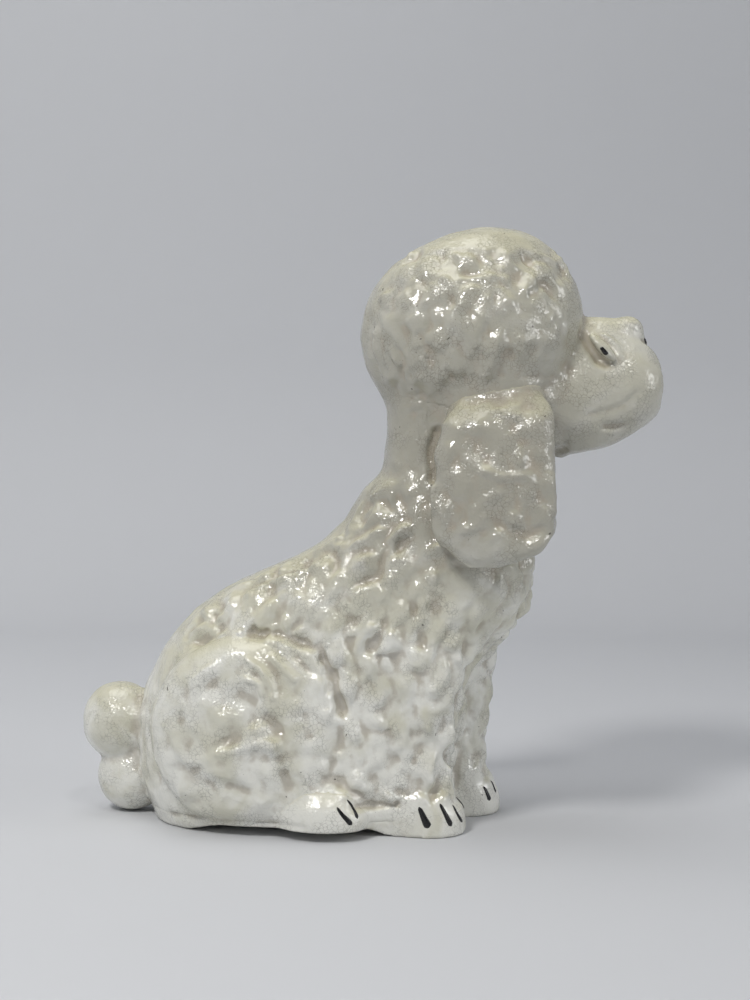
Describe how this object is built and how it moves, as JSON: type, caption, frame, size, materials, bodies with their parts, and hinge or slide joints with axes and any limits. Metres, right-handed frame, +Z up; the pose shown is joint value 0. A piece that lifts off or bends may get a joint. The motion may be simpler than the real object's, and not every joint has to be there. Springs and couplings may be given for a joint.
{
  "type": "ceramic dog figurine",
  "caption": "Sitting poodle figurine in pearl-glazed cast ceramic, with a curly coat, hanging ears and a pompom tail.",
  "frame": {"origin": "centre of the base's resting face, on the surface that the figurine stands on", "axes": "+Z up, the dog faces -Y, and its right side is towards -X"},
  "size_m": [0.085, 0.198, 0.199],
  "materials": {
    "pearl_glaze": "glossy pearl lustre over cream glaze",
    "bare_bisque": "matt unglazed bisque",
    "black_enamel": "glossy brushed overglaze enamel"
  },
  "bodies": {
    "root": {"torso_shell": "pearl_glaze", "base_plate": "bare_bisque", "head_shell": "pearl_glaze", "nose_button": "pearl_glaze", "nostril_paint": "black_enamel", "tail": "pearl_glaze", "right_ear": "pearl_glaze", "right_eye": "pearl_glaze", "right_pupil": "black_enamel", "right_foreleg": "pearl_glaze", "right_front_claws": "black_enamel", "right_haunch": "pearl_glaze", "right_hind_paw": "pearl_glaze", "right_hind_claws": "black_enamel", "left_ear": "pearl_glaze", "left_eye": "pearl_glaze", "left_pupil": "black_enamel", "left_foreleg": "pearl_glaze", "left_front_claws": "black_enamel", "left_haunch": "pearl_glaze", "left_hind_paw": "pearl_glaze", "left_hind_claws": "black_enamel"}
  },
  "joints": []
}
